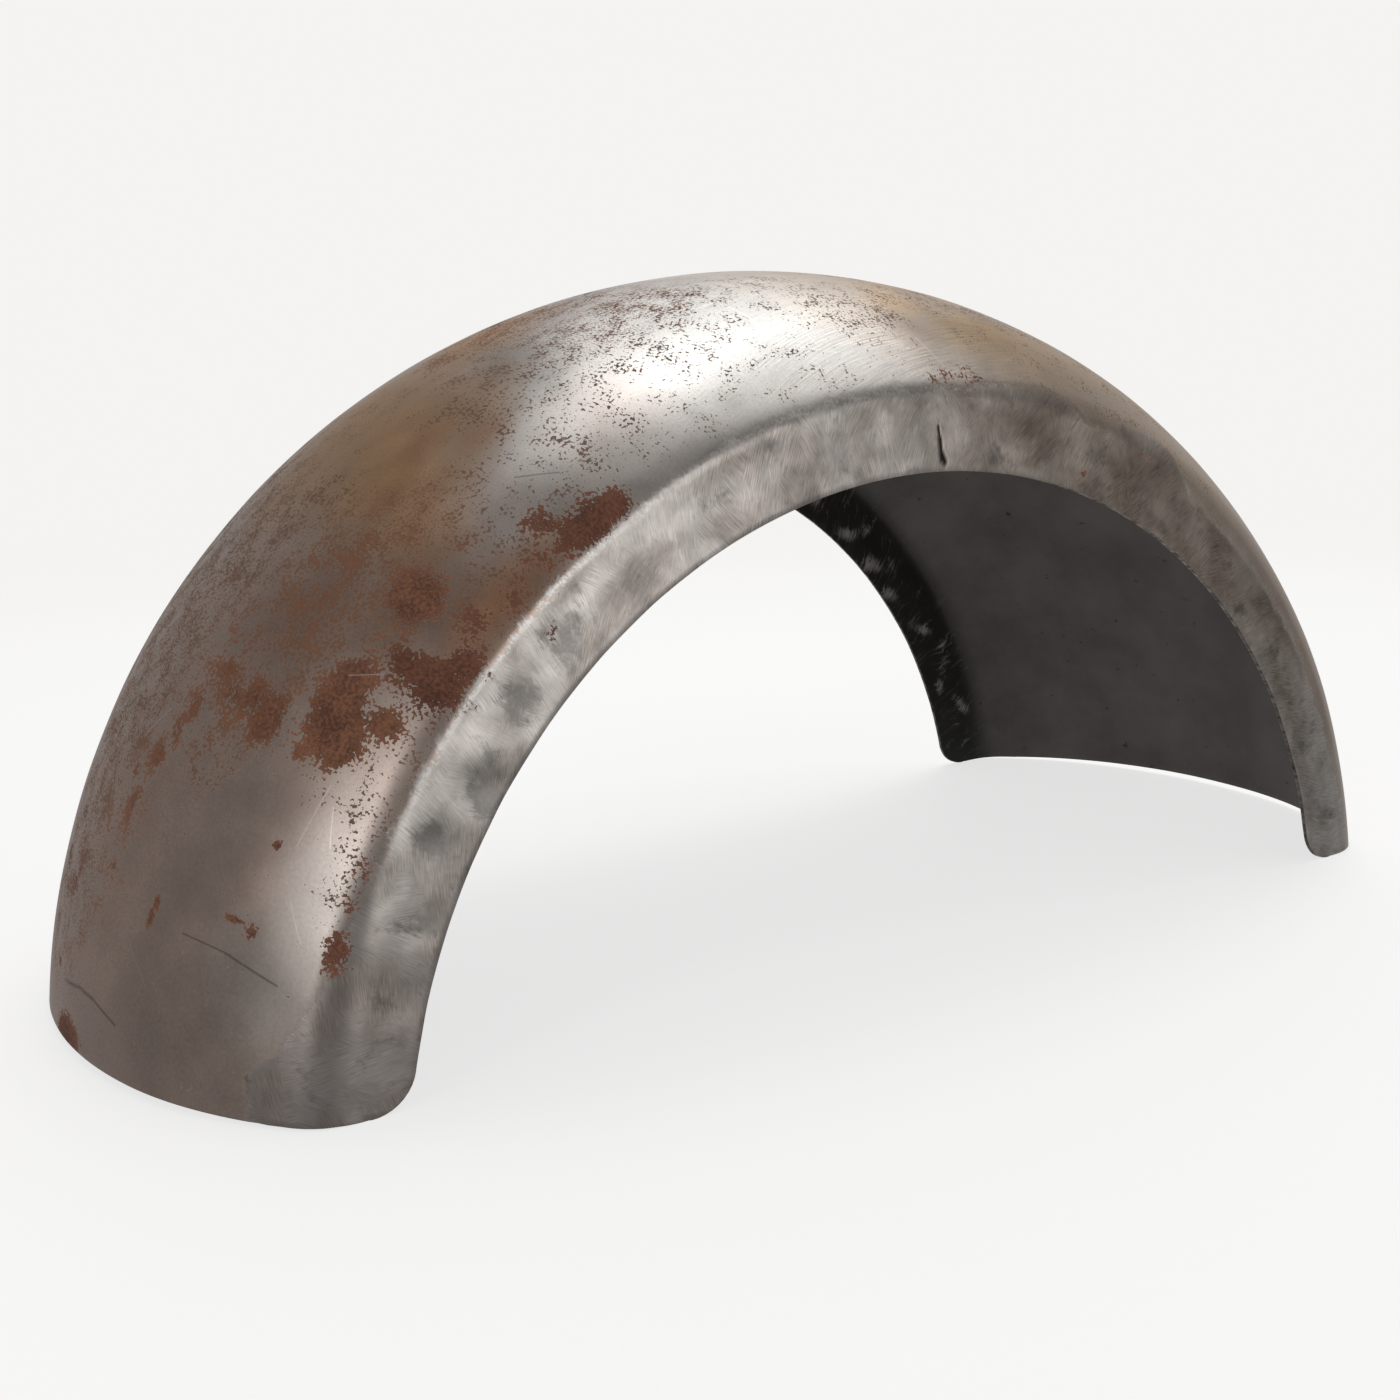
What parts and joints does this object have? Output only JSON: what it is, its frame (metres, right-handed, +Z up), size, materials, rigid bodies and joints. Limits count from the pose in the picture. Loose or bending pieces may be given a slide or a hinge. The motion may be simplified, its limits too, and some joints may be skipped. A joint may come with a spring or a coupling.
{
  "type": "motorcycle rear fender",
  "caption": "Wide arched motorcycle rear fender in bare sheet steel, with a crowned top, turned-down flanges, near-level cut ends and rounded flange tips.",
  "frame": {"origin": "on the floor that the four flange tips stand on, half way between the two ends and on the centre plane", "axes": "+X along the bike, +Y across it to the left flange, +Z up through the crown; the wheel's axle line is parallel to Y and 36 mm below the origin"},
  "size_m": [0.6754, 0.288, 0.3039],
  "materials": {
    "bare_steel": "bare satin sheet steel with disc-ground flanges, light rust film and rust patches"
  },
  "bodies": {
    "root": {"fender_shell": "bare_steel"}
  },
  "joints": []
}
